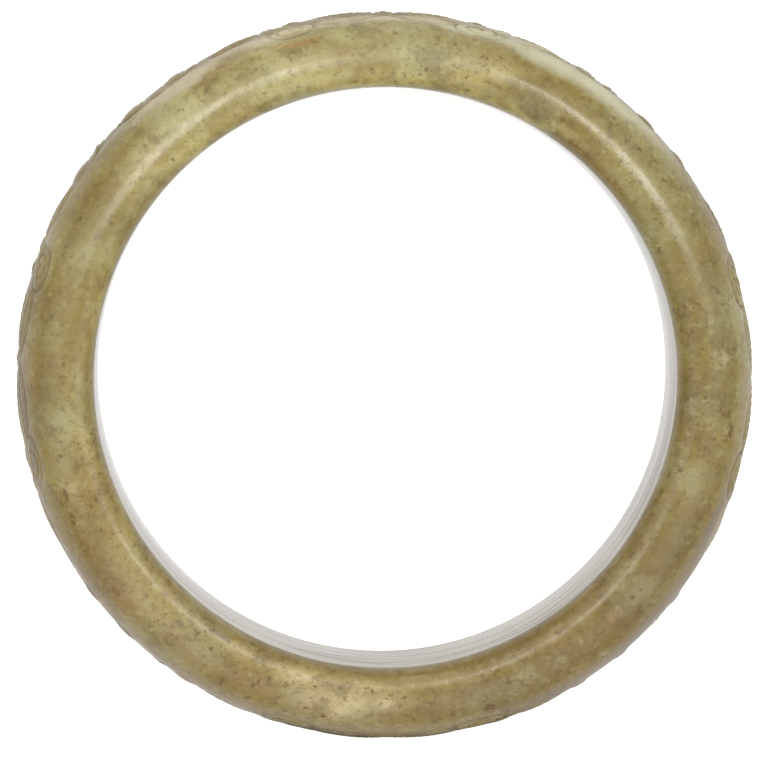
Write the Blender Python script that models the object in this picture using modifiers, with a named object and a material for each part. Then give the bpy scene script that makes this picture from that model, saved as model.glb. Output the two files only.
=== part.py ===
"""A carved jade bangle, lying flat: one closed ring of stone with a round bore.

The origin is under the middle of the outer face, on the surface that the ring lies on. +Z is the ring's axis,
and +X passes through the middle of the first carved scroll. Sizes are in metres, and angles in degrees.
"""

import math

import bmesh
import bpy
import numpy as np

# The ring
BORE_DIAMETER = 0.0604
WALL = 0.00835           # from the bore to the outer face, at mid height
HEIGHT = 0.0150
REST_WIDTH = 0.0004      # the flat worn on the crest, above and below, which the ring lies on
LIP_WIDTH = 0.0023       # the rounded lip between that flat and the bore
LIP_DEPTH = 0.0024
BORE_SWELL = 0.00015     # how far the bore wall stands in at mid height
OVAL = 0.00022           # how far the outer face stands out on its long axis, and in on its short one
LONG_AXIS = -19.5
OFF_CENTRE = 0.0003      # how far the bore, cut by hand, lies out of centre with the outer face
THICK_SIDE = -65.0       # the side where that leaves the wall thickest

# The carved band: four scrolls, and a row of rounded pads between each two
SCROLL_ANGLES = (0.0, 90.5, 176.5, 270.0)
HALF_PANEL = 45.0        # the even share of the ring from a scroll's middle to the middle of the next gap
BAND_HALF_WIDTH = 0.0069
BAND_SWAY = 0.00035      # how far the band, set out by eye, wanders up and down once round the ring
SWAY_ANGLE = 190.0
GROUND_HALF_WIDTH = 0.0027
GROUND_DEPTH = 0.00017   # the ground cut back between the forms, level along the middle of the face
GROUND_FADE = 0.0014     # where that ground runs out on the plain shoulder
MOAT_DEPTH = 0.00028     # the deeper cut that outlines each form
MOAT_WIDTH = 0.00090
EDGE_WIDTH = 0.00040     # the rounded slope from a form's top down into that cut
LINE_DEPTH = 0.00016     # veins and the scroll's winding line
LINE_WIDTH = 0.00060

# The raised forms, placed by degrees from the scroll's middle and by shares of the band's half width
BEAD_RADIUS = 0.14
TONGUE_MIDDLE = 6.8      # the leaf along mid height, between an upper and a lower wing
TONGUE_HALF_LENGTH = 5.0
TONGUE_HALF_WIDTH = 0.17
WING_MIDDLE = (6.3, 0.40)
WING_HALF_LENGTH = 6.0
WING_HALF_WIDTH = 0.18
WING_LEAN = 8.0
CURL_MIDDLE = (15.2, 0.57)
CURL_HALF_LENGTH = 3.8
CURL_HALF_HEIGHT = 0.19
CURL_TURNS = 1.6
STEM_MIDDLE = 13.6
STEM_BEND_RADIUS = 0.55
STEM_HALF_WIDTH = 0.10
BUD_MIDDLE = 15.0
BUD_RADIUS = 0.15
LEAF_MIDDLE = (25.0, 0.20)
LEAF_HALF_LENGTH = 4.4
LEAF_HALF_WIDTH = 0.165
LEAF_LEAN = 15.0
FIRST_PAD_ANGLES = (57.0, 145.6, 236.0, 322.5)
PAD_STEPS = (0.0, 4.8, 12.2, 20.3)      # how far each pad lies past the row's first, clockwise from above
PAD_HALF_WIDTHS = (2.1, 1.4, 2.1, 1.9)
PAD_HALF_LENGTHS = (0.36, 0.29, 0.37, 0.34)
PAD_SQUARENESS = 3.0     # 2 is an oval, and higher is nearer to a block with rounded corners

# How finely the ring is worked, and how many triangles it keeps
RING_STEPS = 96
SPLITS_PER_STEP = 10     # the carved band is worked this much more finely round the ring
BAND_STEPS = 52
SHOULDER_STEPS = 3
LIP_STEPS = 4
BORE_STEPS = 2
KEPT_TRIANGLES = 9800

# The stone
JADE_COLOUR = (0.377, 0.309, 0.150, 1.0)
JADE_ROUGHNESS = 0.28

FACE_SAMPLES = 200       # points at which the outer face's length is measured
ROUNDING = 1e-6          # lengths closer than this are the same
MERGE_DISTANCE = 1e-5
SMALLEST_SHARE = 1e-6
BORE_RADIUS = BORE_DIAMETER / 2
OUTER_RADIUS = BORE_RADIUS + WALL
HALF_HEIGHT = HEIGHT / 2
REST_OUTER_RADIUS = BORE_RADIUS + LIP_WIDTH + REST_WIDTH
FACE_REACH = OUTER_RADIUS - REST_OUTER_RADIUS


def outer_face_point(turn):
    """Radius and height on the outer face, half an ellipse from mid height, turn 0, to each flat's edge."""
    return (REST_OUTER_RADIUS + FACE_REACH * math.cos(turn), HALF_HEIGHT * (1 + math.sin(turn)))


def face_lengths():
    """Turns from 0 to a quarter, and how far along the outer face each is from mid height."""
    turns = np.linspace(0, math.pi / 2, FACE_SAMPLES)
    steps = np.hypot(np.diff(FACE_REACH * np.cos(turns)), np.diff(HALF_HEIGHT * np.sin(turns)))
    return turns, np.concatenate([[0], np.cumsum(steps)])


def band_turn():
    """The turn at which the outer face reaches the edge of the carved band."""
    turns, lengths = face_lengths()
    return float(np.interp(BAND_HALF_WIDTH, lengths, turns))


def section():
    """The ring's closed section as (radius, height) points, down its outer side first."""
    upper = np.linspace(math.pi / 2, band_turn(), SHOULDER_STEPS, endpoint=False)
    carved = np.linspace(band_turn(), -band_turn(), BAND_STEPS + 1)
    outer_turns = [*upper, *carved, *(-upper[::-1])]
    outer = [outer_face_point(turn) for turn in outer_turns]

    lip_turns = np.linspace(0, math.pi / 2, LIP_STEPS + 1)
    lower_lip = [
        (BORE_RADIUS + LIP_WIDTH * (1 - math.sin(turn)), LIP_DEPTH * (1 - math.cos(turn)))
        for turn in lip_turns
    ]
    bore = []
    for step in range(1, BORE_STEPS):
        share = step / BORE_STEPS
        swell = BORE_SWELL * math.sin(math.pi * share)
        bore.append((BORE_RADIUS - swell, LIP_DEPTH + (HEIGHT - 2 * LIP_DEPTH) * share))
    upper_lip = [(radius, HEIGHT - height) for radius, height in reversed(lower_lip)]
    return outer + lower_lip + bore + upper_lip


def turned_ring(collection):
    """The plain ring, turned from its section by a Screw modifier and made a mesh."""
    points = section()
    profile_mesh = bpy.data.meshes.new("section")
    edges = [(index, (index + 1) % len(points)) for index in range(len(points))]
    profile_mesh.from_pydata([(radius, 0, height) for radius, height in points], edges, [])
    profile = bpy.data.objects.new("section", profile_mesh)
    collection.objects.link(profile)
    turned = profile.modifiers.new("turned round the axis", "SCREW")
    turned.steps = RING_STEPS
    turned.render_steps = RING_STEPS
    turned.use_merge_vertices = True
    turned.merge_threshold = MERGE_DISTANCE

    evaluated = profile.evaluated_get(bpy.context.evaluated_depsgraph_get())
    mesh = bpy.data.meshes.new_from_object(evaluated)
    bpy.data.objects.remove(profile)
    mesh.name = "bangle"
    return mesh


def smooth_step(share):
    """0 below 0, 1 above 1, and a smooth rise between."""
    share = np.clip(share, 0, 1)
    return share * share * (3 - 2 * share)


def along_ring(degrees):
    """Degrees of the ring as metres of its outer face."""
    return np.radians(degrees) * OUTER_RADIUS


def across_band(share):
    """A share of the band's half width, in metres."""
    return share * BAND_HALF_WIDTH


def inside_oval(along, across, half_along, half_across, squareness=2.0):
    """How far a point lies inside an oval about the origin, in metres; below 0 outside."""
    along = np.abs(along) / half_along
    across = np.abs(across) / half_across
    reach = np.maximum((along ** squareness + across ** squareness) ** (1 / squareness), SMALLEST_SHARE)
    along_slope = (along / reach) ** (squareness - 1) / half_along
    across_slope = (across / reach) ** (squareness - 1) / half_across
    return (1 - reach) / np.hypot(along_slope, across_slope)


def inside_leaf(along, across, half_length, half_width):
    """How far a point lies inside a pointed leaf of two arcs, its tips in the first direction."""
    arc_radius = (half_length ** 2 + half_width ** 2) / (2 * half_width)
    return arc_radius - np.hypot(along, np.abs(across) + arc_radius - half_width)


def cut_line(distance):
    """Depth of a cut line at this distance from its middle."""
    return LINE_DEPTH * smooth_step(1 - np.abs(distance) / (LINE_WIDTH / 2))


def leaning_leaf(along, across, middle, lean, half_length, half_width):
    """How far a point lies inside a leaf that leans away from mid height, and its distance from the vein."""
    lean = math.radians(lean)
    from_along = along - along_ring(middle[0])
    from_across = across - across_band(middle[1])
    lengthways = from_along * math.cos(lean) + from_across * math.sin(lean)
    sideways = from_across * math.cos(lean) - from_along * math.sin(lean)
    inside = inside_leaf(lengthways, sideways, along_ring(half_length), across_band(half_width))
    return inside, sideways


def curl_inside(along, across):
    """The rolled end of a scroll, and the distance from the line that winds into it."""
    from_along = along - along_ring(CURL_MIDDLE[0])
    from_across = across - across_band(CURL_MIDDLE[1])
    half_length = along_ring(CURL_HALF_LENGTH)
    half_height = across_band(CURL_HALF_HEIGHT)
    inside = inside_oval(from_along, from_across, half_length, half_height)
    reach = np.hypot(from_along / half_length, from_across / half_height)
    turn = np.arctan2(from_across / half_height, -from_along / half_length) / (2 * math.pi)
    windings = (1 - reach) * CURL_TURNS + turn
    middle_reach = (half_length + half_height) / 2
    from_line = np.abs(windings - np.round(windings)) * middle_reach / CURL_TURNS
    return inside, from_line


def pads_inside(angle, across):
    """The rows of rounded pads between the scrolls."""
    insides = []
    for first in FIRST_PAD_ANGLES:
        for step, half_width, half_length in zip(PAD_STEPS, PAD_HALF_WIDTHS, PAD_HALF_LENGTHS):
            from_pad = (angle - first + step + 180) % 360 - 180
            insides.append(inside_oval(
                along_ring(from_pad), across, along_ring(half_width), across_band(half_length), PAD_SQUARENESS
            ))
    return np.maximum.reduce(insides)


def carving_height(angle, across):
    """Height of the carving over the plain face, 0 or below.

    angle is in degrees round the ring, and across is in metres from mid height.
    """
    scroll_knots = []
    for start, end in zip(SCROLL_ANGLES, (*SCROLL_ANGLES[1:], SCROLL_ANGLES[0] + 360)):
        scroll_knots += [start, (start + end) / 2]
    phase_knots = [0, HALF_PANEL] * len(SCROLL_ANGLES)
    along = along_ring(np.interp(angle, scroll_knots + [360], phase_knots + [0]))
    across = np.abs(across)
    wing, from_wing_vein = leaning_leaf(
        along, across, WING_MIDDLE, WING_LEAN, WING_HALF_LENGTH, WING_HALF_WIDTH
    )
    leaf, from_leaf_vein = leaning_leaf(
        along, across, LEAF_MIDDLE, LEAF_LEAN, LEAF_HALF_LENGTH, LEAF_HALF_WIDTH
    )
    curl, from_curl_line = curl_inside(along, across)
    stem_bend = np.hypot(along - along_ring(STEM_MIDDLE), across) - across_band(STEM_BEND_RADIUS)
    stem = across_band(STEM_HALF_WIDTH) - np.abs(stem_bend)
    stem = np.where(along > along_ring(STEM_MIDDLE), stem, -MOAT_WIDTH)
    tongue_along = along - along_ring(TONGUE_MIDDLE)
    tongue = inside_leaf(tongue_along, across, along_ring(TONGUE_HALF_LENGTH), across_band(TONGUE_HALF_WIDTH))
    bead = across_band(BEAD_RADIUS) - np.hypot(along, across)
    bud = across_band(BUD_RADIUS) - np.hypot(along - along_ring(BUD_MIDDLE), across)
    pads = pads_inside(angle, across)
    inside = np.maximum.reduce([bead, tongue, wing, curl, stem, bud, leaf, pads])

    ground = GROUND_DEPTH * smooth_step(1 - (across - GROUND_HALF_WIDTH) / GROUND_FADE)
    moat = MOAT_DEPTH * smooth_step(1 + inside / MOAT_WIDTH)
    raised = smooth_step(inside / EDGE_WIDTH + 0.5)
    lines = np.where(wing > LINE_WIDTH / 2, cut_line(from_wing_vein), 0)
    lines = np.maximum(lines, np.where(leaf > LINE_WIDTH / 2, cut_line(from_leaf_vein), 0))
    lines = np.maximum(lines, np.where(curl > 0, cut_line(from_curl_line), 0))
    return -np.maximum(ground, moat) * (1 - raised) - lines


def split_band(mesh):
    """Divides the faces of the carved band round the ring, where the carving needs more points."""
    reach = HALF_HEIGHT * math.sin(band_turn()) - ROUNDING
    work = bmesh.new()
    work.from_mesh(mesh)
    around = [
        edge for edge in work.edges
        if abs(edge.verts[0].co.z - edge.verts[1].co.z) < ROUNDING
        and abs(edge.verts[0].co.z - HALF_HEIGHT) < reach
        and min(vertex.co.xy.length for vertex in edge.verts) > REST_OUTER_RADIUS
    ]
    bmesh.ops.subdivide_edges(work, edges=around, cuts=SPLITS_PER_STEP - 1, use_grid_fill=True)
    work.to_mesh(mesh)
    work.free()


def carve(mesh):
    """Moves the turned ring's points into the oval outer face and its carving, and lists the carved ones."""
    flat = np.empty(len(mesh.vertices) * 3)
    mesh.vertices.foreach_get("co", flat)
    points = flat.reshape(-1, 3)
    radius = np.hypot(points[:, 0], points[:, 1])
    angle = np.degrees(np.arctan2(points[:, 1], points[:, 0])) % 360

    turns, lengths = face_lengths()
    rise = np.clip((points[:, 2] - HALF_HEIGHT) / HALF_HEIGHT, -1, 1)
    face_turn = np.arcsin(rise)
    across = np.sign(face_turn) * np.interp(np.abs(face_turn), turns, lengths)
    on_face = radius > REST_OUTER_RADIUS + ROUNDING
    round_radius = np.where(on_face, REST_OUTER_RADIUS + FACE_REACH * np.cos(face_turn), radius)

    in_band = on_face & (np.abs(across) < BAND_HALF_WIDTH - ROUNDING)
    sway = BAND_SWAY * np.cos(np.radians(angle - SWAY_ANGLE))
    height = np.where(in_band, carving_height(angle, across - sway), 0)
    normal_out = np.cos(face_turn) / FACE_REACH
    normal_up = np.sin(face_turn) / HALF_HEIGHT
    normal_length = np.hypot(normal_out, normal_up)
    outer_share = (round_radius - BORE_RADIUS) / WALL
    oval = OVAL * outer_share * np.cos(2 * np.radians(angle - LONG_AXIS))
    new_radius = round_radius + oval + height * normal_out / normal_length
    points[:, :2] *= (new_radius / radius)[:, None]
    points[:, 0] -= (1 - outer_share) * OFF_CENTRE * math.cos(math.radians(THICK_SIDE))
    points[:, 1] -= (1 - outer_share) * OFF_CENTRE * math.sin(math.radians(THICK_SIDE))
    points[:, 2] += height * normal_up / normal_length
    mesh.vertices.foreach_set("co", points.ravel())
    mesh.update()
    return [int(index) for index in np.flatnonzero(in_band)]


def jade():
    """Olive-green stone with a worn hand polish."""
    material = bpy.data.materials.new("olive jade")
    material.use_nodes = True
    shader = material.node_tree.nodes["Principled BSDF"]
    shader.inputs["Base Color"].default_value = JADE_COLOUR
    shader.inputs["Roughness"].default_value = JADE_ROUGHNESS
    shader.inputs["Metallic"].default_value = 0.0
    return material


def bangle(collection):
    """The whole ring: turned, carved, and its carved band thinned to the faces that its forms need."""
    mesh = turned_ring(collection)
    split_band(mesh)
    carved_points = carve(mesh)
    ring = bpy.data.objects.new("bangle", mesh)
    collection.objects.link(ring)
    mesh.materials.clear()
    mesh.materials.append(jade())
    mesh.shade_smooth()
    carved = ring.vertex_groups.new(name="carved band")
    carved.add(carved_points, 1.0, "REPLACE")
    thinned = ring.modifiers.new("fewer faces in the band", "DECIMATE")
    thinned.vertex_group = carved.name
    thinned.ratio = KEPT_TRIANGLES / sum(len(face.vertices) - 2 for face in mesh.polygons)
    return ring


for old in list(bpy.data.objects):
    bpy.data.objects.remove(old)

bangle_collection = bpy.data.collections.new("jade bangle")
bpy.context.scene.collection.children.link(bangle_collection)
bangle(bangle_collection)
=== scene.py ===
import math

import bmesh
import bpy
import numpy as np
from mathutils import Matrix, Vector


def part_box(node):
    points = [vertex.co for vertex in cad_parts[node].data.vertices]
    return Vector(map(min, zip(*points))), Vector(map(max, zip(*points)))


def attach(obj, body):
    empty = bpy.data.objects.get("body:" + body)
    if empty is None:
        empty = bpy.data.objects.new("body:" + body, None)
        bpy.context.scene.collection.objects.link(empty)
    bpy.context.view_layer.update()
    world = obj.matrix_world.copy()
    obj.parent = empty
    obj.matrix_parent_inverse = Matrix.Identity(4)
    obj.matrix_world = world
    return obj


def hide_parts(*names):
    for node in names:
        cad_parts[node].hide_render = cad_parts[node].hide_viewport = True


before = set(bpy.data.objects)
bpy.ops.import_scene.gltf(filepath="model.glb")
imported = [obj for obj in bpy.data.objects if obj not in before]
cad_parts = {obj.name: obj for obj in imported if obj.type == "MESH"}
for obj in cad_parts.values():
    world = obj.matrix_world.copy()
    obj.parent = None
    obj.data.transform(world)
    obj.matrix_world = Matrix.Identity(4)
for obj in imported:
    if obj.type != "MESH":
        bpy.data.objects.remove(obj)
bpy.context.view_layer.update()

# The bangle
# One closed ring cut from a single block of olive nephrite. It is turned to a D section, its outer face is
# carved with a band of low relief, and the whole is polished by hand and worn soft by long wear.
BORE_DIAMETER = 0.0604
REST_WIDTH = 0.0004      # the flat worn on each crest, which the ring lies on
LIP_WIDTH = 0.0023       # the rounded lip between that flat and the bore
LIP_DEPTH = 0.0024
BORE_SWELL = 0.00015     # how far the bore wall stands in at mid height
OVAL = 0.00022           # how far the outer face stands out on its long axis, and in on its short one
LONG_AXIS = -19.5
OFF_CENTRE = 0.0003      # how far the bore, cut by hand, lies out of centre with the outer face
THICK_SIDE = math.radians(-65.0)
BORE_CENTRE = Vector((-OFF_CENTRE * math.cos(THICK_SIDE), -OFF_CENTRE * math.sin(THICK_SIDE), 0))
SKIN = 0.00001           # the finished face stays this far inside the solid's box

low_corner, high_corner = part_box("bangle")
HALF_HEIGHT = (high_corner[2] - low_corner[2]) / 2
OUTER_RADIUS = (high_corner[0] - low_corner[0] + high_corner[1] - low_corner[1]) / 4 - SKIN
BORE_RADIUS = BORE_DIAMETER / 2
REST_OUTER_RADIUS = BORE_RADIUS + LIP_WIDTH + REST_WIDTH
FACE_REACH = OUTER_RADIUS - REST_OUTER_RADIUS

# The carved band: four scrolls, and a row of rounded pads between each two. Angles are in degrees
SCROLL_ANGLES = (0.0, 90.5, 176.5, 270.0)
HALF_PANEL = 45.0
BAND_HALF_WIDTH = 0.0069
BAND_SWAY = 0.00035      # how far the band, set out by eye, wanders up and down once round the ring
SWAY_ANGLE = 190.0
HAND_DRIFT = 0.4         # how far a form strays along the ring from its even place, in degrees
HAND_LIFT = 0.00012      # how far it strays across the band
HAND_SWELL = 0.00007     # how much fatter or thinner a form is than its neighbour
GROUND_HALF_WIDTH = 0.0026
GROUND_DEPTH = 0.00018
GROUND_FADE = 0.0012
MOAT_DEPTH = 0.00027
MOAT_WIDTH = 0.00085
EDGE_WIDTH = 0.00055
CUSHION_DEPTH = 0.00010  # how far a form's top falls off towards its edge
CUSHION_WIDTH = 0.0012
VEIN_DEPTH = 0.00018
VEIN_WIDTH = 0.00050
HATCH_DEPTH = 0.00007
HATCH_WIDTH = 0.00032
HATCH_SPACING = 0.00062
HATCH_MARGIN = 0.00022   # how far the fine lines stop short of a form's edge
RING_LINE = 0.00040      # how far inside a form's edge its inner contour runs
SCALLOP_DEPTH = 0.00017  # the long curved line above and below the pads
SCALLOP_WIDTH = 0.00060
WING_HATCH_LEAN = math.radians(38)
LEAF_HATCH_LEAN = math.radians(48)
TONGUE_HATCH_LEAN = math.radians(52)
WORN_ANGLE = 228.0       # the side that is rubbed most, where the relief is faintest
WORN_REACH = 45.0        # the degrees, to each side, over which that wear dies away
WORN_FULLY = 0.5         # how far the evenly worn part goes to each side, as a share of that
WORN_SHARE = 0.65        # how much of the cut's depth is left there
POLISH_SIZE = 0.011      # the soft unevenness that polishing by hand leaves
POLISH_DEPTH = 0.00012
TOOL_MARK_SIZE = 0.0007  # and that of the tool's marks in the cuts
TOOL_MARK_DEPTH = 0.00005

# The slow unevenness of hand work: waves of whole turns, tilt across the band, and start in degrees
DRIFT_WAVES = ((9, 1.1, 20), (14, -0.8, 130), (23, 1.9, 75))
LIFT_WAVES = ((7, 0.9, 40), (12, 1.7, 210), (19, -1.2, 95))
SWELL_WAVES = ((11, 0.5, 160), (17, -0.6, 15), (29, 1.0, 300))

# The raised forms, placed by degrees from the scroll's middle and by shares of the band's half width
BEAD_RADIUS = 0.14
TONGUE_MIDDLE = 6.8
TONGUE_HALF_LENGTH = 5.0
TONGUE_HALF_WIDTH = 0.17
WING_MIDDLE = (6.3, 0.40)
WING_HALF_LENGTH = 6.0
WING_HALF_WIDTH = 0.18
WING_LEAN = 8.0
CURL_MIDDLE = (15.2, 0.57)
CURL_HALF_LENGTH = 3.8
CURL_HALF_HEIGHT = 0.19
CURL_TURNS = 1.8
STEM_MIDDLE = 13.6
STEM_BEND_RADIUS = 0.55
STEM_HALF_WIDTH = 0.10
BUD_MIDDLE = 15.0
BUD_RADIUS = 0.15
LEAF_MIDDLE = (25.0, 0.20)
LEAF_HALF_LENGTH = 4.4
LEAF_HALF_WIDTH = 0.165
LEAF_LEAN = 15.0
FIRST_PAD_ANGLES = (57.0, 145.6, 236.0, 322.5)
PAD_STEPS = (0.0, 4.8, 12.2, 20.3)      # how far each pad lies past the row's first, clockwise from above
PAD_HALF_WIDTHS = (2.1, 1.4, 2.1, 1.9)
PAD_HALF_LENGTHS = (0.36, 0.29, 0.37, 0.34)
PAD_SQUARENESS = 3.0
SCALLOP_STEPS = (0.3, 16.8)
SCALLOP_HALF_WIDTHS = (5.0, 8.0)
SCALLOP_HALF_LENGTHS = (0.50, 0.48)

# How finely the ring is worked
RING_STEPS = 240
BAND_SPLITS = 8
BAND_STEPS = 112
SHOULDER_STEPS = 8
LIP_STEPS = 12
BORE_STEPS = 36
KEPT_TRIANGLES = 192000
FACE_SAMPLES = 400
ROUNDING = 1e-6
SMALLEST_SHARE = 1e-6


def face_lengths():
    """Turns of the outer face's half ellipse from mid height, and how far along the face each one is."""
    turns = np.linspace(0, math.pi / 2, FACE_SAMPLES)
    steps = np.hypot(np.diff(FACE_REACH * np.cos(turns)), np.diff(HALF_HEIGHT * np.sin(turns)))
    return turns, np.concatenate([[0], np.cumsum(steps)])


def section():
    """The ring's closed section as (radius, height) points, down its outer side first."""
    turns, lengths = face_lengths()
    band_turn = float(np.interp(BAND_HALF_WIDTH, lengths, turns))
    upper = np.linspace(math.pi / 2, band_turn, SHOULDER_STEPS, endpoint=False)
    carved = np.linspace(band_turn, -band_turn, BAND_STEPS + 1)
    outer = [
        (REST_OUTER_RADIUS + FACE_REACH * math.cos(turn), HALF_HEIGHT * (1 + math.sin(turn)))
        for turn in (*upper, *carved, *(-upper[::-1]))
    ]
    lower_lip = [
        (BORE_RADIUS + LIP_WIDTH * (1 - math.sin(turn)), LIP_DEPTH * (1 - math.cos(turn)))
        for turn in np.linspace(0, math.pi / 2, LIP_STEPS + 1)
    ]
    wall = []
    for share in np.linspace(0, 1, BORE_STEPS + 1)[1:-1]:
        height = LIP_DEPTH + 2 * (HALF_HEIGHT - LIP_DEPTH) * share
        wall.append((BORE_RADIUS - BORE_SWELL * math.sin(math.pi * share), height))
    upper_lip = [(radius, 2 * HALF_HEIGHT - height) for radius, height in reversed(lower_lip)]
    return outer + lower_lip + wall + upper_lip


bpy.ops.object.select_all(action="DESELECT")
profile_points = section()
bpy.ops.mesh.primitive_circle_add(
    vertices=len(profile_points),
    radius=HALF_HEIGHT,
    location=(OUTER_RADIUS - HALF_HEIGHT, 0, HALF_HEIGHT),
    rotation=(math.pi / 2, 0, 0),
)
bangle = bpy.context.object
bangle.name = "carved_bangle"
bpy.ops.object.transform_apply(location=True, rotation=True, scale=True)
for vertex, (radius, height) in zip(bangle.data.vertices, profile_points):
    vertex.co = (radius, 0, height)

bpy.ops.object.mode_set(mode="EDIT")
bpy.ops.mesh.select_all(action="SELECT")
bpy.ops.mesh.spin(steps=RING_STEPS, angle=math.tau, center=(0, 0, 0), axis=(0, 0, 1))
bpy.ops.mesh.select_all(action="SELECT")
bpy.ops.mesh.remove_doubles(threshold=ROUNDING * 10)
bpy.ops.mesh.normals_make_consistent(inside=False)
bpy.ops.mesh.select_all(action="DESELECT")
turns, lengths = face_lengths()
band_reach = HALF_HEIGHT * math.sin(np.interp(BAND_HALF_WIDTH, lengths, turns)) - ROUNDING
work = bmesh.from_edit_mesh(bangle.data)
for edge in work.edges:
    start, end = (vertex.co for vertex in edge.verts)
    level = abs(start.z - end.z) < ROUNDING
    in_band = abs(start.z - HALF_HEIGHT) < band_reach and start.xy.length > REST_OUTER_RADIUS
    edge.select = level and in_band
bmesh.update_edit_mesh(bangle.data)
bpy.ops.mesh.subdivide(number_cuts=BAND_SPLITS - 1)
bpy.ops.object.mode_set(mode="OBJECT")

# Spinning and dividing leave points on straight chords, so each is put back at its true radius
count = len(bangle.data.vertices)
flat = np.empty(count * 3)
bangle.data.vertices.foreach_get("co", flat)
points = flat.reshape(-1, 3)
radius = np.hypot(points[:, 0], points[:, 1])
angle = np.degrees(np.arctan2(points[:, 1], points[:, 0])) % 360
rise = np.clip((points[:, 2] - HALF_HEIGHT) / HALF_HEIGHT, -1, 1)
face_turn = np.arcsin(rise)
across = np.sign(face_turn) * np.interp(np.abs(face_turn), turns, lengths)
on_face = radius > REST_OUTER_RADIUS + ROUNDING * 10
true_radius = np.where(on_face, REST_OUTER_RADIUS + FACE_REACH * np.cos(face_turn), radius)
outer_share = (true_radius - BORE_RADIUS) / (OUTER_RADIUS - BORE_RADIUS)
true_radius += OVAL * outer_share * np.cos(2 * np.radians(angle - LONG_AXIS))
points[:, :2] *= (true_radius / radius)[:, None]
points[:, :2] += (1 - outer_share)[:, None] * BORE_CENTRE.xy
bangle.data.vertices.foreach_set("co", points.ravel())


def smooth_step(share):
    """0 below 0, 1 above 1, and a smooth rise between."""
    share = np.clip(share, 0, 1)
    return share * share * (3 - 2 * share)


def by_hand(angle, across, waves):
    """How far hand work strays at each point of the band, between -1 and 1, as the mean of these waves."""
    lift = across / BAND_HALF_WIDTH
    total = sum(np.sin(np.radians(turns * angle + start) + tilt * lift) for turns, tilt, start in waves)
    return total / len(waves)


def along_ring(degrees):
    """Degrees of the ring as metres of its outer face."""
    return np.radians(degrees) * OUTER_RADIUS


def across_band(share):
    """A share of the band's half width, in metres."""
    return share * BAND_HALF_WIDTH


def inside_oval(along, across, half_along, half_across, squareness=2.0):
    """How far a point lies inside an oval about the origin, in metres; below 0 outside."""
    along, across = np.abs(along) / half_along, np.abs(across) / half_across
    reach = np.maximum((along ** squareness + across ** squareness) ** (1 / squareness), SMALLEST_SHARE)
    power = squareness - 1
    slope = np.hypot((along / reach) ** power / half_along, (across / reach) ** power / half_across)
    return (1 - reach) / slope


def in_rows(angle, across, steps, half_widths, half_lengths, squareness=2.0):
    """How far a point lies inside the nearest oval of the rows between the scrolls, in metres."""
    insides = []
    for first in FIRST_PAD_ANGLES:
        for step, half_width, half_length in zip(steps, half_widths, half_lengths):
            along = along_ring((angle - first + step + 180) % 360 - 180)
            insides.append(inside_oval(
                along, across, along_ring(half_width), across_band(half_length), squareness
            ))
    return np.maximum.reduce(insides)


def inside_leaf(along, across, half_length, half_width):
    """How far a point lies inside a pointed leaf of two arcs, its tips in the first direction."""
    arc_radius = (half_length ** 2 + half_width ** 2) / (2 * half_width)
    return arc_radius - np.hypot(along, np.abs(across) + arc_radius - half_width)


def cut_line(distance, width, depth):
    """Depth of a cut line at this distance from its middle."""
    return depth * smooth_step(1 - np.abs(distance) / (width / 2))


def hatching(lengthways, sideways, lean, inside):
    """Fine parallel lines that slope away from a form's vein on both sides, and stop short of its edge."""
    run = lengthways * math.cos(lean) + np.abs(sideways) * math.sin(lean)
    from_line = np.abs(run / HATCH_SPACING - np.round(run / HATCH_SPACING)) * HATCH_SPACING
    return np.where(inside > HATCH_MARGIN, cut_line(from_line, HATCH_WIDTH, HATCH_DEPTH), 0)


def leaning(along, across, middle, lean):
    """Lengthways and sideways distances in a form that leans away from mid height by this many degrees."""
    lean = math.radians(lean)
    from_along = along - along_ring(middle[0])
    from_across = across - across_band(middle[1])
    lengthways = from_along * math.cos(lean) + from_across * math.sin(lean)
    return lengthways, from_across * math.cos(lean) - from_along * math.sin(lean)


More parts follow.
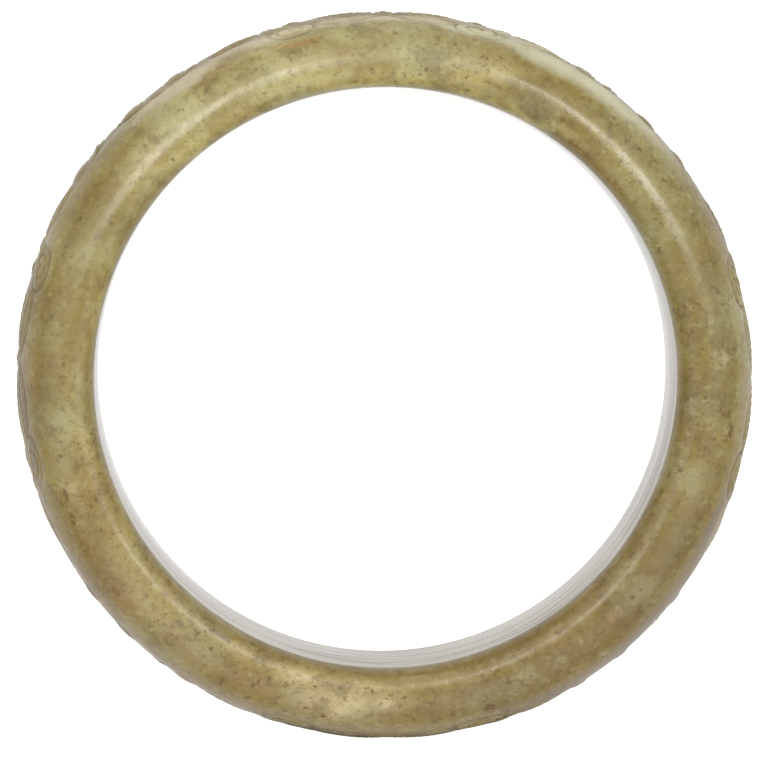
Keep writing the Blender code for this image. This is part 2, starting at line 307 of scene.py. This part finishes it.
def carved_depth(angle, across):
    """Depth of the cut below the plain face, in metres, and how far each point is raised, from 0 to 1."""
    knots = []
    for start, end in zip(SCROLL_ANGLES, (*SCROLL_ANGLES[1:], SCROLL_ANGLES[0] + 360)):
        knots += [start, (start + end) / 2]
    drift = HAND_DRIFT * by_hand(angle, across, DRIFT_WAVES)
    phase = np.interp(angle, knots + [360], [0, HALF_PANEL] * len(SCROLL_ANGLES) + [0])
    along = along_ring(phase + drift)
    across = across - BAND_SWAY * np.cos(np.radians(angle - SWAY_ANGLE))
    across = np.abs(across + HAND_LIFT * by_hand(angle, across, LIFT_WAVES))
    swell = HAND_SWELL * by_hand(angle, across, SWELL_WAVES)

    bead_reach = np.hypot(along, across)
    bead = across_band(BEAD_RADIUS) - bead_reach
    bud_reach = np.hypot(along - along_ring(BUD_MIDDLE), across)
    bud = across_band(BUD_RADIUS) - bud_reach
    tongue_along = along - along_ring(TONGUE_MIDDLE)
    tongue = inside_leaf(tongue_along, across, along_ring(TONGUE_HALF_LENGTH), across_band(TONGUE_HALF_WIDTH))
    wing_along, wing_side = leaning(along, across, WING_MIDDLE, WING_LEAN)
    wing = inside_leaf(wing_along, wing_side, along_ring(WING_HALF_LENGTH), across_band(WING_HALF_WIDTH))
    leaf_along, leaf_side = leaning(along, across, LEAF_MIDDLE, LEAF_LEAN)
    leaf = inside_leaf(leaf_along, leaf_side, along_ring(LEAF_HALF_LENGTH), across_band(LEAF_HALF_WIDTH))
    curl_along = (along - along_ring(CURL_MIDDLE[0])) / along_ring(CURL_HALF_LENGTH)
    curl_side = (across - across_band(CURL_MIDDLE[1])) / across_band(CURL_HALF_HEIGHT)
    curl = inside_oval(
        along - along_ring(CURL_MIDDLE[0]),
        across - across_band(CURL_MIDDLE[1]),
        along_ring(CURL_HALF_LENGTH),
        across_band(CURL_HALF_HEIGHT),
    )
    stem_side = np.hypot(along - along_ring(STEM_MIDDLE), across) - across_band(STEM_BEND_RADIUS)
    past_bend = along > along_ring(STEM_MIDDLE)
    stem = np.where(past_bend, across_band(STEM_HALF_WIDTH) - np.abs(stem_side), -MOAT_WIDTH)
    strayed = angle + drift
    pads = in_rows(strayed, across, PAD_STEPS, PAD_HALF_WIDTHS, PAD_HALF_LENGTHS, PAD_SQUARENESS)
    scallops = in_rows(strayed, across, SCALLOP_STEPS, SCALLOP_HALF_WIDTHS, SCALLOP_HALF_LENGTHS)
    inside = np.maximum.reduce([bead, tongue, wing, curl, stem, bud, leaf, pads]) + swell

    winding = (1 - np.hypot(curl_along, curl_side)) * CURL_TURNS
    winding += np.arctan2(curl_side, -curl_along) / math.tau
    curl_gap = (along_ring(CURL_HALF_LENGTH) + across_band(CURL_HALF_HEIGHT)) / 2 / CURL_TURNS
    curl_line = np.abs(winding - np.round(winding)) * curl_gap
    lines = np.maximum.reduce([
        np.where(curl > 0, cut_line(curl_line, VEIN_WIDTH, VEIN_DEPTH), 0),
        np.where(wing > VEIN_WIDTH / 2, cut_line(wing_side, VEIN_WIDTH, VEIN_DEPTH), 0),
        np.where(leaf > VEIN_WIDTH / 2, cut_line(leaf_side, VEIN_WIDTH, VEIN_DEPTH), 0),
        np.where(tongue > VEIN_WIDTH / 2, cut_line(across, VEIN_WIDTH, VEIN_DEPTH), 0),
        np.where(past_bend & (stem > 0), cut_line(stem_side, HATCH_WIDTH, VEIN_DEPTH), 0),
        cut_line(bead - RING_LINE, HATCH_WIDTH, VEIN_DEPTH),
        cut_line(bud - RING_LINE, HATCH_WIDTH, VEIN_DEPTH),
        cut_line(pads - RING_LINE, HATCH_WIDTH, HATCH_DEPTH),
        np.where(leaf < -MOAT_WIDTH / 2, cut_line(scallops, SCALLOP_WIDTH, SCALLOP_DEPTH), 0),
        hatching(wing_along, wing_side, WING_HATCH_LEAN, wing),
        hatching(leaf_along, leaf_side, LEAF_HATCH_LEAN, leaf),
        hatching(tongue_along, across, TONGUE_HATCH_LEAN, tongue),
    ])
    ground = GROUND_DEPTH * smooth_step(1 - (across - GROUND_HALF_WIDTH) / GROUND_FADE)
    moat = MOAT_DEPTH * smooth_step(1 + inside / MOAT_WIDTH)
    raised = smooth_step(inside / EDGE_WIDTH + 0.5)
    top = CUSHION_DEPTH * (1 - smooth_step(inside / CUSHION_WIDTH))
    depth = np.maximum(ground, moat) * (1 - raised) + top * raised + lines
    from_worn = np.abs((angle - WORN_ANGLE + 180) % 360 - 180)
    worn = 1 - (1 - WORN_SHARE) * smooth_step(1 + WORN_FULLY - from_worn / WORN_REACH)
    fades_out = smooth_step((BAND_HALF_WIDTH - across) / MOAT_WIDTH)
    return depth * worn * fades_out, raised


in_band = on_face & (np.abs(across) < BAND_HALF_WIDTH - ROUNDING)
depth, raised = carved_depth(angle, across)
depth = np.where(in_band, depth, 0)
deepest = float(depth.max())
CUT_POINTS = "depth of the cut"
BAND_POINTS = "carved band"
FACE_POINTS = "outer face"
cut = bangle.vertex_groups.new(name=CUT_POINTS)
for index in np.flatnonzero(depth > 0):
    cut.add([int(index)], float(depth[index] / deepest), "REPLACE")
band = bangle.vertex_groups.new(name=BAND_POINTS)
band.add([int(index) for index in np.flatnonzero(in_band)], 1.0, "REPLACE")
outside = bangle.vertex_groups.new(name=FACE_POINTS)
outside.add([int(index) for index in np.flatnonzero(on_face)], 1.0, "REPLACE")
dirt = bangle.data.attributes.new("grime", "FLOAT", "POINT")
dirt.data.foreach_set("value", depth / deepest)


def worked_by(kind, name, **settings):
    """Adds a modifier to the bangle with its settings, and applies it."""
    modifier = bangle.modifiers.new(name, kind)
    for setting, value in settings.items():
        setattr(modifier, setting, value)
    bpy.ops.object.modifier_apply(modifier=name)


def uneven_skin(name, size, depth, points):
    """Wears a vertex group down unevenly, in soft hollows of this size and depth in metres."""
    hollows = bpy.data.textures.new(name, "CLOUDS")
    hollows.noise_scale = size
    hollows.noise_depth = 1
    worked_by("DISPLACE", name, texture=hollows, strength=depth, mid_level=1.0, vertex_group=points)


faces = sum(len(face.vertices) - 2 for face in bangle.data.polygons)
uneven_skin("hand polish", POLISH_SIZE, POLISH_DEPTH, FACE_POINTS)
worked_by("DISPLACE", "carving", strength=-deepest, mid_level=0.0, vertex_group=CUT_POINTS)
uneven_skin("tool marks", TOOL_MARK_SIZE, TOOL_MARK_DEPTH, CUT_POINTS)
worked_by("DECIMATE", "fewer faces in the band", ratio=KEPT_TRIANGLES / faces, vertex_group=BAND_POINTS)
bpy.ops.object.shade_smooth()


def linear(colour):
    """An sRGB hex colour as linear red, green, blue and alpha."""
    parts = [int(colour[start:start + 2], 16) / 255 for start in (1, 3, 5)]
    return [p / 12.92 if p <= 0.04045 else ((p + 0.055) / 1.055) ** 2.4 for p in parts] + [1.0]


def add_node(tree, kind, inputs=(), output=0, **settings):
    """Adds a node and gives its output. Its inputs, in order or by name, are values or what feeds them."""
    node = tree.nodes.new("ShaderNode" + kind)
    for setting, value in settings.items():
        setattr(node, setting, value)
    for socket, value in inputs.items() if isinstance(inputs, dict) else enumerate(inputs):
        if isinstance(value, bpy.types.NodeSocket):
            tree.links.new(value, node.inputs[socket])
        else:
            node.inputs[socket].default_value = linear(value) if isinstance(value, str) else value
    return node if output is None else node.outputs[output]


# Nephrite, a felt of fine fibres, olive where it is pure and paler or browner where it is weathered. The hand
# polish gives a soft gloss that breaks over shallow pits, and old handling has left brown dirt in the cuts.
MM = 0.001
GLOSS_OUTSIDE = 0.27
GLOSS_IN_BORE = 0.08
OUTSIDE_SPREAD = 0.05    # how far the gloss varies to both sides of that
BORE_SPREAD = 0.03
DULLED_BY_DIRT = 0.15    # how much rougher the dirty cuts are, and the rubbed lip by half of that
PIT_DEPTH = 0.02 * MM

nephrite = bpy.data.materials.new("polished nephrite")
nephrite.use_nodes = True
tree = nephrite.node_tree
shader = tree.nodes["Principled BSDF"]
shader.inputs["IOR"].default_value = 1.61
shader.inputs["Subsurface Weight"].default_value = 0.2
shader.inputs["Subsurface Radius"].default_value = (1.0, 0.9, 0.45)
shader.inputs["Subsurface Scale"].default_value = 1.2 * MM

# Where the patterns are drawn: evenly, drawn out along the ring for the drill's streaks in the bore, or
# shifted by soft patches of this size and this far, in mm, which gives what is drawn there a ragged edge
SHIFTS = {
    "drifted": (7, 3), "loose": (4, 1.4), "ragged": (2.2, 1.1), "frayed": (0.9, 0.4), "flecked": (0.8, 0.35),
}
STREAK_LENGTH = 20 * MM
STREAK_WIDTH = 1.2 * MM
even = add_node(tree, "TexCoord", output="Object")
streaked = add_node(tree, "Mapping", {
    "Vector": even, "Scale": (1 / STREAK_LENGTH, 1 / STREAK_LENGTH, 1 / STREAK_WIDTH),
})
places = {"even": even, "streaked": streaked}
for name, (size, distance) in SHIFTS.items():
    wander = add_node(tree, "TexNoise", {
        "Vector": even, "Scale": 1 / (size * MM), "Detail": 3.0, "Roughness": 0.55,
    }, output="Color")
    wander = add_node(tree, "VectorMath", (wander, (0.5, 0.5, 0.5)), operation="SUBTRACT")
    reach = (2 * distance * MM,) * 3
    places[name] = add_node(tree, "VectorMath", (wander, reach, even), operation="MULTIPLY_ADD")

# The stone's patterns: where each is drawn, the size of its patches, its detail, roughness and distortion.
# The grain is the felted fibres, drawn coarser than they are so that they show.
PATTERNS = {
    "body": ("drifted", 12 * MM, 3.0, 0.5, 0.0),
    "hue": ("drifted", 8 * MM, 3.0, 0.55, 0.0),
    "mottle": ("ragged", 3.2 * MM, 5.0, 0.65, 0.0),
    "wisps": ("ragged", 5 * MM, 5.0, 0.6, 1.2),
    "grain": ("even", 0.7 * MM, 4.0, 0.7, 0.0),
    "gathering": ("even", 7 * MM, 2.0, 0.55, 0.0),    # where the dark flecks crowd
    "large flecks": ("flecked", 1.1 * MM, 3.0, 0.6, 0.0),
    "small flecks": ("flecked", 0.45 * MM, 3.0, 0.6, 0.0),
    "streaks": ("streaked", 1.0, 3.0, 0.6, 0.0),
    "pits": ("even", 0.4 * MM, 3.0, 0.6, 0.0),
}
patterns = {}
for name, (where, size, detail, roughness, distortion) in PATTERNS.items():
    patterns[name] = add_node(tree, "TexNoise", {
        "Vector": places[where], "Scale": 1 / size, "Detail": detail,
        "Roughness": roughness, "Distortion": distortion,
    }, output="Fac")

# Where a point lies on the ring, and how far it is in each zone, from 0 where the zone ends to 1 inside it
smooth = {"interpolation_type": "SMOOTHSTEP"}
x, y, z = add_node(tree, "SeparateXYZ", (even,), output=None).outputs
flat_place = add_node(tree, "CombineXYZ", (x, y))
from_axis = add_node(tree, "VectorMath", (flat_place, BORE_CENTRE), output="Value", operation="DISTANCE")
above_middle = add_node(tree, "Math", (z, HALF_HEIGHT), operation="SUBTRACT")
from_middle = add_node(tree, "Math", (above_middle,), operation="ABSOLUTE")
wall_top = HALF_HEIGHT - LIP_DEPTH
near_wall = add_node(tree, "MapRange", (from_axis, BORE_RADIUS + 0.3 * MM, BORE_RADIUS + 0.1 * MM), **smooth)
past_lips = add_node(tree, "MapRange", (from_middle, wall_top + 0.1 * MM, wall_top - 0.2 * MM), **smooth)
in_bore = add_node(tree, "Math", (near_wall, past_lips), operation="MULTIPLY")
on_lip = add_node(tree, "MapRange", (from_axis, BORE_RADIUS + 1.3 * MM, BORE_RADIUS + 0.55 * MM), **smooth)
rubbed = add_node(tree, "MapRange", (from_axis, BORE_RADIUS + 3.0 * MM, BORE_RADIUS + 2.2 * MM), **smooth)
mid_face = add_node(tree, "MapRange", (from_middle, 6.0 * MM, 4.5 * MM), **smooth)
grime = add_node(tree, "Attribute", output="Fac", attribute_name="grime")
LEAST_THICKNESS = 0.8    # how deep under the skin even the smallest mark goes, in mm


def spread_of(marks, place, soft):
    """Where marks lie, from 0 to 1. Each has its angle, its radius, and its half length and half width."""
    spread = None
    for angle, radius_mm, half_length, half_width in marks:
        out = min(max((radius_mm * MM - REST_OUTER_RADIUS) / FACE_REACH, 0.0), 1.0)
        turn = math.acos(out)
        lean = math.atan2(math.cos(turn) / FACE_REACH, math.sin(turn) / HALF_HEIGHT)
        centre = Matrix.Rotation(math.radians(angle), 3, "Z") @ Vector((radius_mm * MM, 0, 0))
        centre.z = HALF_HEIGHT * (1 + math.sin(turn))
        thickness = max(half_length, half_width, LEAST_THICKNESS)
        inside = add_node(tree, "Mapping", {
            "Vector": places[place],
            "Location": centre,
            "Rotation": (0.0, lean, math.radians(angle)),
            "Scale": Vector((half_width, half_length, thickness)) * MM,
        }, vector_type="TEXTURE")
        nearness = add_node(tree, "TexGradient", (inside,), output="Fac", gradient_type="SPHERICAL")
        mark = add_node(tree, "MapRange", (nearness, 0.0, 1.0 - soft), **smooth)
        spread = mark if spread is None else add_node(tree, "Math", (spread, mark), operation="MAXIMUM")
    return spread


# The body of the stone, and the broad patches of it that stand out on this ring, among which a few rows are
# painted light or painted shade, as marked. Each layer is a colour and the shares that it is laid on by,
# which are multiplied.
STONE = ((0.30, "#6F5D29"), (0.46, "#857539"), (0.58, "#93854C"), (0.76, "#A8A070"))
PATCHES = (
    # colour, share, then angle, radius, half length and half width of each patch, in degrees and mm
    ("#AEA270", 0.80, ((108, 34.0, 22, 6), (138, 33.0, 8, 4), (76, 34.0, 7, 6))),
    ("#AFAC78", 0.55, ((84, 33.8, 6, 3), (132, 34.2, 8, 1.8), (97, 35.8, 7, 1.6))),
    # painted reflection and light: the shoulder made paler from about 55 to 100 degrees
    ("#C0BC93", 0.80, ((55, 37.4, 14, 1.7), (72, 37.5, 9, 1.6), (100, 37.6, 12, 1.4))),
    ("#DACD9E", 0.95, ((262, 33.7, 8, 4.0), (253, 31.8, 4, 1.8), (270, 33.2, 3.5, 2.0))),
    # painted light: the lip and inner edge made paler, mostly from 65 to 122 degrees
    ("#BFB16C", 0.85, ((260, 31.1, 9, 0.9), (92, 31.3, 24, 1.5), (122, 31.4, 14, 1.5), (65, 31.0, 10, 1.0))),
    ("#AE9C66", 0.75, ((214, 32.6, 16, 3.0), (200, 31.6, 10, 2.6), (243, 31.6, 6, 1.8))),
    ("#6C5E34", 0.85, ((318, 35.0, 17, 5), (288, 35.5, 9, 4), (331, 34.0, 7, 4))),
    ("#79683A", 0.75, ((180, 35.8, 9, 2.2), (169, 35.9, 4, 1.6), (156, 35.6, 5, 1.8), (12, 35.2, 12, 1.6))),
    ("#ABA67C", 0.65, ((341, 32.8, 4, 1.8), (115, 32.6, 3, 1.3), (187, 33.2, 3, 1.3))),
    ("#8F6F49", 0.65, ((218, 35.6, 6, 2.0), (231, 34.6, 4, 1.8), (243, 34.6, 3, 1.8), (303, 32.4, 3, 1.4))),
    ("#80733A", 0.60, (
        (28, 33.8, 15, 5), (2, 34.6, 10, 2.5), (150, 34.2, 9, 3), (180, 34.8, 10, 2.5),
        (332, 34.2, 12, 8), (299, 33.8, 9, 2.2), (271, 34.6, 6, 2.4), (315, 32.8, 9, 4),
    )),
    # painted light: the inner edge of the lip made paler
    ("#B9A968", 0.75, (
        (119, 30.7, 13, 0.9), (204, 30.7, 16, 0.8), (165, 30.8, 8, 0.8), (255, 30.8, 8, 1.0),
        (77, 30.7, 6, 0.8),
    )),
    ("#75683A", 0.55, ((45, 34.9, 8, 1.3), (17, 35.8, 8, 2.0), (182, 35.2, 8, 1.7))),
    ("#57491F", 0.60, ((316, 33.4, 9, 4), (286, 33.5, 8, 2.6), (302, 33.8, 8, 2.4), (330, 35.0, 8, 2.2))),
    ("#B4AF7A", 0.60, ((120, 34.3, 12, 5), (106, 36.4, 8, 2))),
    # painted shade: the lip darker from 294 to 345 degrees
    ("#74602F", 0.80, (
        (294, 30.9, 10, 0.55), (314, 31.0, 10, 0.9), (328, 30.9, 8, 0.6), (345, 31.0, 6, 0.4),
    )),
)
body = add_node(tree, "ValToRGB", (patterns["body"],), output=None)
stops = body.color_ramp.elements
for stop, (position, stone_colour) in zip((stops[0], stops[1]), (STONE[0], STONE[-1])):
    stop.position, stop.color = position, linear(stone_colour)
for position, stone_colour in STONE[1:-1]:
    stops.new(position).color = linear(stone_colour)
layers = []
for patch_colour, share, marks in PATCHES:
    by_mottle = add_node(tree, "MapRange", (patterns["mottle"], 0.25, 0.6, 0.6 * share, share), **smooth)
    layers.append((patch_colour, spread_of(marks, "loose", 0.0), by_mottle))

# How its colour wanders: greyer green or ochre, browner towards the near side, then pale wisps, mottling and
# fibres. Each row: a colour, its pattern, the pattern's values where it starts and is full, and its share.
BROWN_SWAY = 30 * MM     # how far the hue moves the edge of the browner side
sway = add_node(tree, "Math", (patterns["hue"], BROWN_SWAY), operation="MULTIPLY")
patterns["far side"] = add_node(tree, "Math", (y, sway), operation="ADD")
TINTS = (
    ("#98966C", "hue", 0.48, 0.66, 0.45),
    ("#7D6420", "hue", 0.52, 0.34, 0.45),
    ("#84652F", "far side", 30 * MM, -20 * MM, 0.35),
    ("#C3BC8C", "wisps", 0.54, 0.76, 0.35),
    ("#62521F", "mottle", 0.50, 0.32, 0.42),
    ("#5C4A1E", "grain", 0.48, 0.30, 0.60),
    ("#C6BF97", "grain", 0.54, 0.75, 0.30),
)
for tint, name, low, high, share in TINTS:
    layers.append((tint, add_node(tree, "MapRange", (patterns[name], low, high, 0.0, share), **smooth)))

# The few stains that catch the eye, and dark flecks, which gather in swarms and are fewest at the far left
STAINS = (
    ("#6B4323", 0.85, ((246.4, 33.6, 0.25, 0.6), (246.0, 34.3, 0.4, 0.4))),
    ("#94764A", 0.55, ((248.7, 34.5, 1.6, 1.1), (120.9, 36.3, 1.5, 0.4), (314.2, 33.7, 1.3, 0.8))),
    ("#5C4726", 0.75, (
        (242.0, 33.9, 0.3, 0.3), (232.9, 31.2, 0.5, 0.3), (236.0, 33.0, 0.5, 0.3), (198.9, 35.1, 1.1, 0.3),
        (192.2, 34.5, 0.35, 0.3), (133.5, 31.9, 0.3, 0.4), (151.6, 35.8, 0.6, 0.3), (36.4, 35.3, 0.4, 0.3),
        (38.8, 33.2, 0.4, 0.3), (15.5, 35.3, 0.5, 0.35), (78.9, 35.5, 0.3, 0.3), (73.2, 34.9, 0.35, 0.3),
    )),
    ("#6E604A", 0.60, ((229.1, 32.8, 0.8, 0.5), (152.9, 33.5, 0.5, 0.4), (236.8, 31.3, 1.3, 0.6))),
)
FLECKS = (("large flecks", 0.75), ("small flecks", 0.70))
for stain_colour, share, marks in STAINS:
    layers.append((stain_colour, spread_of(marks, "frayed", 0.35), share))
near_right = add_node(tree, "Math", (x, y), operation="SUBTRACT")
swarming = add_node(tree, "MapRange", (near_right, -48 * MM, 10 * MM, 0.72, 1.1), **smooth)
gathering = add_node(tree, "Math", (patterns["gathering"], swarming), operation="MULTIPLY")
for name, share in FLECKS:
    flecks = add_node(tree, "MapRange", (patterns[name], 0.58, 0.72), **smooth)
    gathered = add_node(tree, "MapRange", (gathering, 0.38, 0.60, 0.2 * share, share), **smooth)
    layers.append(("#583800", flecks, gathered))

# The russet that has soaked in beside one scroll; paler and darker stretches of the shoulder, which are
# painted reflection and painted shade; a painted taupe reflection and a painted brown shade about the middle
# of the face; painted shade along the lip on the near side; the brown that handling left in the cuts; and the
# greyer bore, streaked by its drill, made paler in part as a painted reflection of the white table
RUSSET = (
    (103.0, 36.4, 1.6, 0.35), (105.6, 36.1, 2.6, 0.35), (108.2, 36.5, 1.6, 0.3), (118, 36.6, 2.0, 0.3),
    (112, 36.9, 0.9, 0.25),
)
# The shoulder's paler and darker stretches are painted reflection and painted shade; the darkest row, from
# 258 to 283 degrees, is painted shade
PAINTED_SHOULDER_LIGHT = (
    ("#C4C2A2", 0.75, ((57, 37.3, 15, 2.6), (78, 37.6, 9, 1.6), (68, 38.3, 13, 1.1))),
    ("#C2B598", 0.80, ((92, 37.9, 13, 1.5), (109, 37.6, 9, 1.5), (125, 37.4, 9, 1.4))),
    ("#726450", 0.80, (
        (0, 38.5, 10, 1.2), (179, 38.1, 9, 1.4), (318, 37.4, 14, 1.5), (335, 37.0, 8, 1.3),
        (300, 37.2, 8, 1.2), (187, 37.6, 14, 1.2),
    )),
    ("#3D2C14", 0.80, ((258, 37.8, 7, 1.1), (269, 37.9, 9, 1.1), (283, 38.0, 7, 1.1))),
)
soaked_in = add_node(tree, "MapRange", (grime, 0.0, 0.35, 0.45, 1.0), **smooth)
layers.append(("#A5602F", spread_of(RUSSET, "ragged", 0.3), soaked_in, 0.8))
# Painted reflection: a taupe sheen over the middle of the face
painted_taupe_sheen = add_node(tree, "MapRange", (patterns["mottle"], 0.3, 0.6, 0.10, 0.25), **smooth)
layers.append(("#8F8268", mid_face, painted_taupe_sheen))
for shoulder_colour, share, marks in PAINTED_SHOULDER_LIGHT:
    by_mottle = add_node(tree, "MapRange", (patterns["mottle"], 0.25, 0.6, 0.7 * share, share), **smooth)
    layers.append((shoulder_colour, spread_of(marks, "loose", 0.2), by_mottle))
# Painted shade: the lip darker and browner on the near side
browner = add_node(tree, "MapRange", (patterns["far side"], 30 * MM, -20 * MM, 0.0, 0.3), **smooth)
layers.append(("#61501F", on_lip, browner))
# Painted shade: a darker brown that deepens towards mid height
mid_height_shade = add_node(tree, "MapRange", (from_middle, 5.0 * MM, 0.5 * MM, 0.0, 0.25), **smooth)
layers.append(("#64512F", mid_height_shade))
grainy = add_node(tree, "Math", (patterns["grain"], 0.25), operation="MULTIPLY")
dirt = add_node(tree, "Math", (grime, grainy), operation="ADD")
layers.append(("#5E4826", add_node(tree, "MapRange", (dirt, 0.30, 1.15, 0.0, 0.65), **smooth)))
# The bore's grey, made paler in part as a painted reflection of the white table
paler = add_node(tree, "MapRange", (patterns["streaks"], 0.38, 0.62), **smooth)
bore_colour = add_node(tree, "Mix", {0: paler, 6: "#857B70", 7: "#CFC8BE"}, output=2, data_type="RGBA")
layers.append((bore_colour, in_bore, 0.65))

# The layers over the body, where a colour mix has its colours in sockets 6 and 7 and its result in output 2
colour = body.outputs["Color"]
for over, laid_on, *others in layers:
    for other in others:
        laid_on = add_node(tree, "Math", (laid_on, other), operation="MULTIPLY")
    colour = add_node(tree, "Mix", {0: laid_on, 6: colour, 7: over}, output=2, data_type="RGBA")
tree.links.new(colour, shader.inputs["Base Color"])

# The polish, duller where the cuts are dirty and along the rubbed lip, and its shallow pits
polish_range = (0.3, 0.7, GLOSS_OUTSIDE + OUTSIDE_SPREAD, GLOSS_OUTSIDE - OUTSIDE_SPREAD)
bore_range = (0.3, 0.7, GLOSS_IN_BORE - BORE_SPREAD, GLOSS_IN_BORE + BORE_SPREAD)
gloss = add_node(tree, "MapRange", (patterns["mottle"], *polish_range), **smooth)
bore_gloss = add_node(tree, "MapRange", (patterns["streaks"], *bore_range), **smooth)
half_rubbed = add_node(tree, "Math", (rubbed, 0.5), operation="MULTIPLY")
dulled = add_node(tree, "Math", (grime, half_rubbed), operation="ADD")
dulled = add_node(tree, "Math", (dulled, DULLED_BY_DIRT), operation="MULTIPLY")
gloss = add_node(tree, "Math", (gloss, dulled), operation="ADD")
gloss = add_node(tree, "Mix", {"Factor": in_bore, "A": gloss, "B": bore_gloss}, data_type="FLOAT")
tree.links.new(gloss, shader.inputs["Roughness"])

fibres = add_node(tree, "Math", (patterns["grain"], 0.6), operation="MULTIPLY")
pits = add_node(tree, "Math", (patterns["pits"], fibres), operation="ADD")
fewer_in_bore = add_node(tree, "MapRange", (in_bore, 0.0, 1.0, 1.0, 0.1), **smooth)
pits = add_node(tree, "Math", (pits, fewer_in_bore), operation="MULTIPLY")
bump = add_node(tree, "Bump", {"Height": pits, "Strength": 0.5, "Distance": PIT_DEPTH})
tree.links.new(bump, shader.inputs["Normal"])

bangle.data.materials.clear()
bangle.data.materials.append(nephrite)
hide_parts("bangle")
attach(bangle, "root")

# The floor
# A table covered in white paper, bright enough to be seen as plain white. The light that it sends back is a
# little less, as from real paper, and the stone mirrors it as white but for the ring's own shade.
FLOOR_SIZE = 6.0
FLOOR_GAP = 0.00002
FLOOR_GLOW = 0.5
MIRRORED_WHITE = 0.95
MIRRORED_SHADE = 0.18
SHADE_MIDDLE = (0.0035, -0.045, 0.0)     # on the side away from the soft boxes
SHADE_REACH = (0.024, 0.017, 1.0)
SHADE_FADE = 0.5         # the outer share of that reach, over which the shade dies away
bpy.ops.object.select_all(action="DESELECT")
bpy.ops.mesh.primitive_plane_add(size=FLOOR_SIZE, location=(0, 0, -FLOOR_GAP))
floor = bpy.context.object
floor.name = "white_table"
white = bpy.data.materials.new("white paper")
white.use_nodes = True
paper_tree = white.node_tree
paper = paper_tree.nodes["Principled BSDF"]
paper.inputs["Base Color"].default_value = linear("#FFFFFF")
paper.inputs["Roughness"].default_value = 0.9
paper.inputs["Emission Color"].default_value = linear("#FFFFFF")
paper.inputs["Emission Strength"].default_value = FLOOR_GLOW
lit_paper = add_node(paper_tree, "BsdfDiffuse", ("#E6E5E3",))
shade_place = add_node(paper_tree, "Mapping", {
    "Vector": add_node(paper_tree, "TexCoord", output="Object"),
    "Location": SHADE_MIDDLE, "Scale": SHADE_REACH,
}, vector_type="TEXTURE")
shade = add_node(paper_tree, "TexGradient", (shade_place,), output="Fac", gradient_type="SPHERICAL")
paper_light = add_node(paper_tree, "MapRange", (shade, 0.0, SHADE_FADE, MIRRORED_WHITE, MIRRORED_SHADE))
mirrored_paper = add_node(paper_tree, "Emission", ("#FFFFFF", paper_light))
glossy_ray = add_node(paper_tree, "LightPath", output="Is Glossy Ray")
camera_ray = add_node(paper_tree, "LightPath", output="Is Camera Ray")
unseen = add_node(paper_tree, "MixShader", (glossy_ray, lit_paper, mirrored_paper))
either = add_node(paper_tree, "MixShader", (camera_ray, unseen, paper.outputs[0]))
paper_tree.links.new(either, paper_tree.nodes["Material Output"].inputs["Surface"])
floor.data.materials.append(white)

# The light
# A white tent, darker at its foot and overhead where the camera looks in, and two long soft boxes. Each box
# draws one line on the outer side of the ring's crest, and one on its inner side across the bore.
BOX_DISTANCE = 0.9
BOX_COLOUR = (1.0, 0.985, 0.91)
SOFT_BOXES = (
    # angle round the ring, elevation, length and width in metres, and watts
    (38.0, 61.0, 0.34, 0.06, 1.55),
    (128.0, 70.0, 0.34, 0.10, 1.45),
)
TENT_STRENGTH = 1.56
TENT = (
    # the sine of the height above the table, and how bright the tent is there
    (0.0, 0.25), (0.2, 0.3), (0.45, 0.6), (0.85, 0.9), (0.95, 0.35), (1.0, 0.25),
)
for box_angle, box_elevation, box_length, box_width, box_watts in SOFT_BOXES:
    turn, lift = math.radians(box_angle), math.radians(box_elevation)
    towards = Vector((math.cos(turn) * math.cos(lift), math.sin(turn) * math.cos(lift), math.sin(lift)))
    bpy.ops.object.light_add(type="AREA", location=towards * BOX_DISTANCE)
    soft_box = bpy.context.object
    soft_box.rotation_euler = towards.to_track_quat("Z", "Y").to_euler()
    soft_box.data.shape = "RECTANGLE"
    soft_box.data.size = box_length
    soft_box.data.size_y = box_width
    soft_box.data.energy = box_watts
    soft_box.data.color = BOX_COLOUR

tent = bpy.data.worlds.new("white tent")
bpy.context.scene.world = tent
tent.use_nodes = True
sky = tent.node_tree
sky.nodes.clear()
direction = add_node(sky, "TexCoord", output="Generated")
height = add_node(sky, "SeparateXYZ", (direction,), output="Z")
wall = add_node(sky, "ValToRGB", (height,), output=None)
wall_stops = wall.color_ramp.elements
for stop, (position, brightness) in zip((wall_stops[0], wall_stops[1]), (TENT[0], TENT[-1])):
    stop.position, stop.color = position, (brightness, brightness, brightness, 1)
for position, brightness in TENT[1:-1]:
    wall_stops.new(position).color = (brightness, brightness, brightness, 1)
tent_light = add_node(sky, "Background", (wall.outputs["Color"], TENT_STRENGTH))
tent_white = add_node(sky, "Background", ("#FFFFFF", 1.0))
seen = add_node(sky, "LightPath", output="Is Camera Ray")
either = add_node(sky, "MixShader", (seen, tent_light, tent_white))
add_node(sky, "OutputWorld", (either,), output=None)
bpy.context.scene.view_settings.view_transform = "Standard"

# The camera
# It looks down on the ring from about 0.37 m over its crest, a little behind and left of its axis, through a
# long lens that just takes the whole ring in.
EYE = Vector((-0.01495, 0.03704, 0.3881))
LOOKED_AT = Vector((-0.00046, 0.00006, 0.015))
LENS = 171.0
SENSOR_WIDTH = 36.0
NEAREST_SEEN = 0.01
bpy.ops.object.camera_add(location=EYE)
camera = bpy.context.object
sight = (LOOKED_AT - EYE).normalized()
right = sight.cross(Vector((0, 1, 0))).normalized()
up = right.cross(sight)
camera.rotation_euler = Matrix((right, up, -sight)).transposed().to_euler()
camera.data.lens = LENS
camera.data.sensor_width = SENSOR_WIDTH
camera.data.clip_start = NEAREST_SEEN
bpy.context.scene.camera = camera
